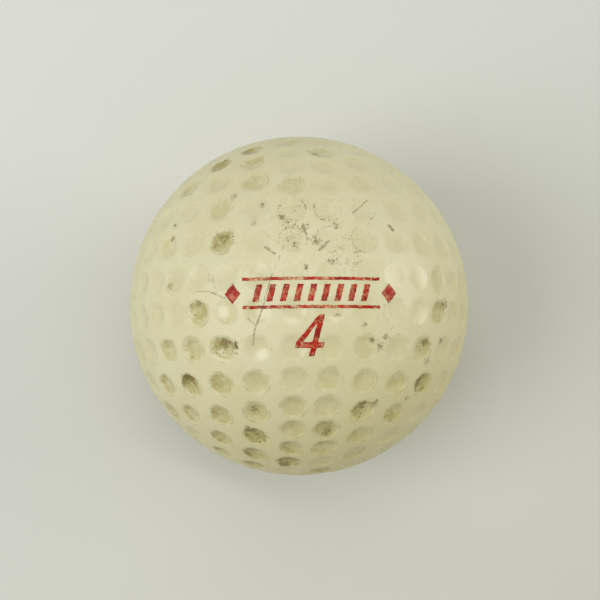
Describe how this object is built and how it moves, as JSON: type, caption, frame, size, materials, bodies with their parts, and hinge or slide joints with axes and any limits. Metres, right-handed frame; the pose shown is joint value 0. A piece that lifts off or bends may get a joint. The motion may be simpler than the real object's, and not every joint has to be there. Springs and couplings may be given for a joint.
{
  "type": "golf ball",
  "caption": "Thread-wound golf ball with a liquid centre, a dimpled moulded cover, a printed play number and a plain printed band.",
  "frame": {"origin": "centre of the ball, which is also the centre of its box", "axes": "+Z from the centre to the middle of the upper printed band, +X along that band the way it reads, +Y from the play number towards the band; the cover's mould seam is the plane Z = 0"},
  "size_m": [0.0426, 0.0426, 0.0426],
  "materials": {
    "painted_cover": "aged ivory paint under worn clear lacquer, with olive dirt in the dimples and small scuffs",
    "red_ink": "stamped red ink, worn thin on the high land",
    "thread_rubber": "stretched natural rubber thread, translucent amber",
    "tape_rubber": "wide rubber tape, smooth and slightly tacky",
    "sac_rubber": "moulded black rubber, matte from its dusting powder",
    "pellet_rubber": "soft unvulcanised rubber, satin",
    "centre_liquid": "thick amber paste, wet"
  },
  "bodies": {
    "root": {"centre_liquid": "centre_liquid", "sac_lower": "sac_rubber", "sac_upper": "sac_rubber", "filling_pellet": "pellet_rubber", "tape_winding": "tape_rubber", "thread_winding": "thread_rubber", "cover_lower": "painted_cover", "cover_upper": "painted_cover", "number_upper": "red_ink", "band_upper": "red_ink", "number_lower": "red_ink", "band_lower": "red_ink"}
  },
  "joints": []
}
